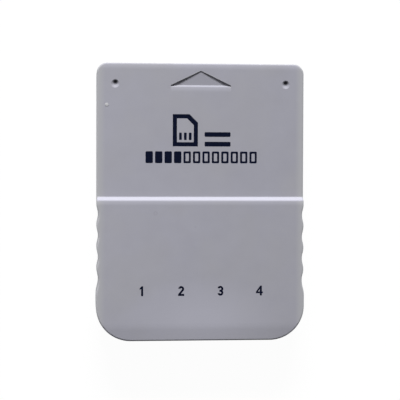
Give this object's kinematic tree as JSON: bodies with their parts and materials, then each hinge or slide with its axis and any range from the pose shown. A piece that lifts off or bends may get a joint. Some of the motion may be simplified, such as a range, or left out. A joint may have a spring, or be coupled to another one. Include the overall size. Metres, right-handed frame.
{
  "type": "console memory card",
  "caption": "Flat grey plug-in memory card with a stepped front, fluted grip sides, an arrow recess and a contact mouth at its insertion end.",
  "frame": {"origin": "middle of the rear face, on the surface that the card lies on", "axes": "+X to the right seen from the front with the insertion end up, +Y towards the insertion end, +Z out of the front face"},
  "size_m": [0.0424, 0.056, 0.0079],
  "materials": {
    "shell_grey": "fine spark-eroded grain, cool mid grey",
    "board_green": "green solder mask on glass-epoxy board",
    "contact_gold": "gold plating",
    "chip_black": "matte moulding compound",
    "resin_black": "glossy potting resin",
    "lamp_clear": "pale clear resin lens",
    "resistor_dark": "dark glazed top, tinned ends",
    "ceramic_tan": "fired tan ceramic, tinned ends"
  },
  "bodies": {
    "root": {"front_shell": "shell_grey", "rear_shell": "shell_grey", "circuit_board": "board_green", "flash_chip": "chip_black", "controller_blob": "resin_black", "resonator": "ceramic_tan", "contact_1": "contact_gold", "contact_2": "contact_gold", "contact_3": "contact_gold", "contact_4": "contact_gold", "contact_5": "contact_gold", "contact_6": "contact_gold", "contact_7": "contact_gold", "contact_8": "contact_gold", "page_led_1": "lamp_clear", "led_resistor_1": "resistor_dark", "page_led_2": "lamp_clear", "led_resistor_2": "resistor_dark", "page_led_3": "lamp_clear", "led_resistor_3": "resistor_dark", "page_led_4": "lamp_clear", "led_resistor_4": "resistor_dark", "supply_capacitor_1": "ceramic_tan", "supply_capacitor_2": "ceramic_tan"}
  },
  "joints": []
}
